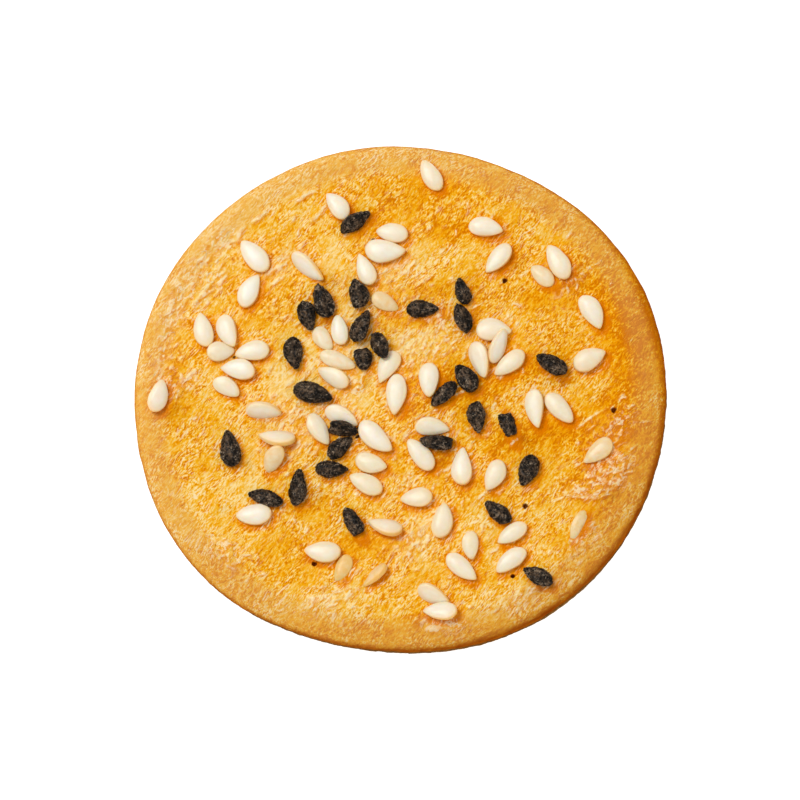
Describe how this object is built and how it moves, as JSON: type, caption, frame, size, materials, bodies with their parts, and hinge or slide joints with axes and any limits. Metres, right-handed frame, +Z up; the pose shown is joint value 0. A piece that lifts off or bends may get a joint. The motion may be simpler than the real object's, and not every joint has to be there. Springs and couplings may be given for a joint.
{
  "type": "sesame biscuit",
  "caption": "Thin round crisp biscuit with a rounded shoulder, a low rim, a gently swollen egg-glazed top and scattered white and black sesame seeds.",
  "frame": {"origin": "middle of the biscuit's box, on its flat base", "axes": "+Z up out of the glazed top; +X along the biscuit's longer width; +Y across it"},
  "size_m": [0.0504, 0.0484, 0.0055],
  "materials": {
    "crust": "golden baked biscuit dough, brushed with egg on top and matt brown on the side and base",
    "egg_glaze": "thin baked egg glaze, golden yellow in streaks, glossy and finely wrinkled",
    "white_sesame": "cream-white hulled sesame seed, smooth with a soft satin gloss",
    "black_sesame": "matt black unhulled sesame seed, finely pitted and ridged"
  },
  "bodies": {
    "root": {"biscuit": "crust"}
  },
  "joints": []
}
